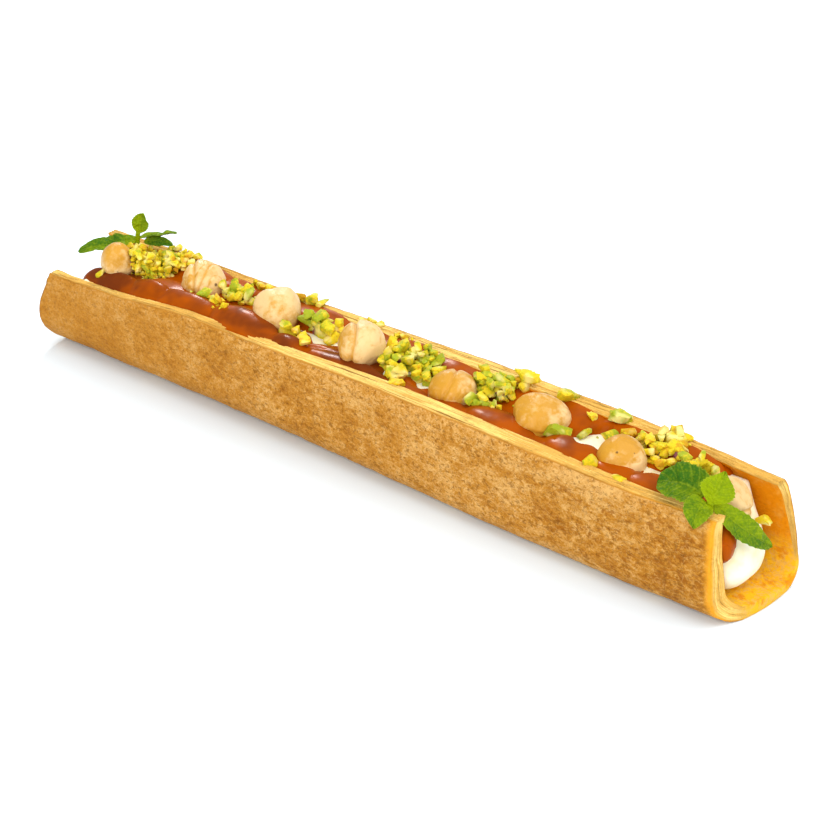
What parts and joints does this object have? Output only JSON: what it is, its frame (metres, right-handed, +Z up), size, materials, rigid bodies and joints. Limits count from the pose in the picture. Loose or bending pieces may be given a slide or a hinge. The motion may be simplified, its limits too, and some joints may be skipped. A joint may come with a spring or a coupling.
{
  "type": "filled puff pastry trough",
  "caption": "Long open trough of crisp laminated pastry filled with piped cream and caramel ribbons, topped with roasted hazelnuts, chopped pistachio and mint.",
  "frame": {"origin": "under the middle of the trough, on the plane that its base stands on", "axes": "+X along the trough towards its near, torn end; +Y towards the back wall; +Z up"},
  "size_m": [0.2484, 0.034, 0.0433],
  "materials": {
    "pastry": "matte baked crust, golden brown with fine darker speckles; paper stands in for laminated pastry",
    "cream": "smooth satin custard cream; matte plastic stands in for cream",
    "caramel": "glossy caramel sauce; gloss plastic stands in for it",
    "hazelnut": "smooth satin roasted kernel; wood stands in for nut flesh",
    "pistachio": "satin chopped pistachio, used on the scattered looks only; wood stands in for nut flesh",
    "mint": "satin ribbed leaf; leather stands in for leaf tissue"
  },
  "bodies": {
    "root": {"pastry_shell": "pastry", "cream": "cream", "caramel_front": "caramel", "caramel_back": "caramel", "hazelnut_1": "hazelnut", "hazelnut_2": "hazelnut", "hazelnut_3": "hazelnut", "hazelnut_4": "hazelnut", "hazelnut_5": "hazelnut", "hazelnut_6": "hazelnut", "hazelnut_7": "hazelnut", "hazelnut_8": "hazelnut", "mint_sprig_near": "mint", "mint_sprig_far": "mint"}
  },
  "joints": []
}
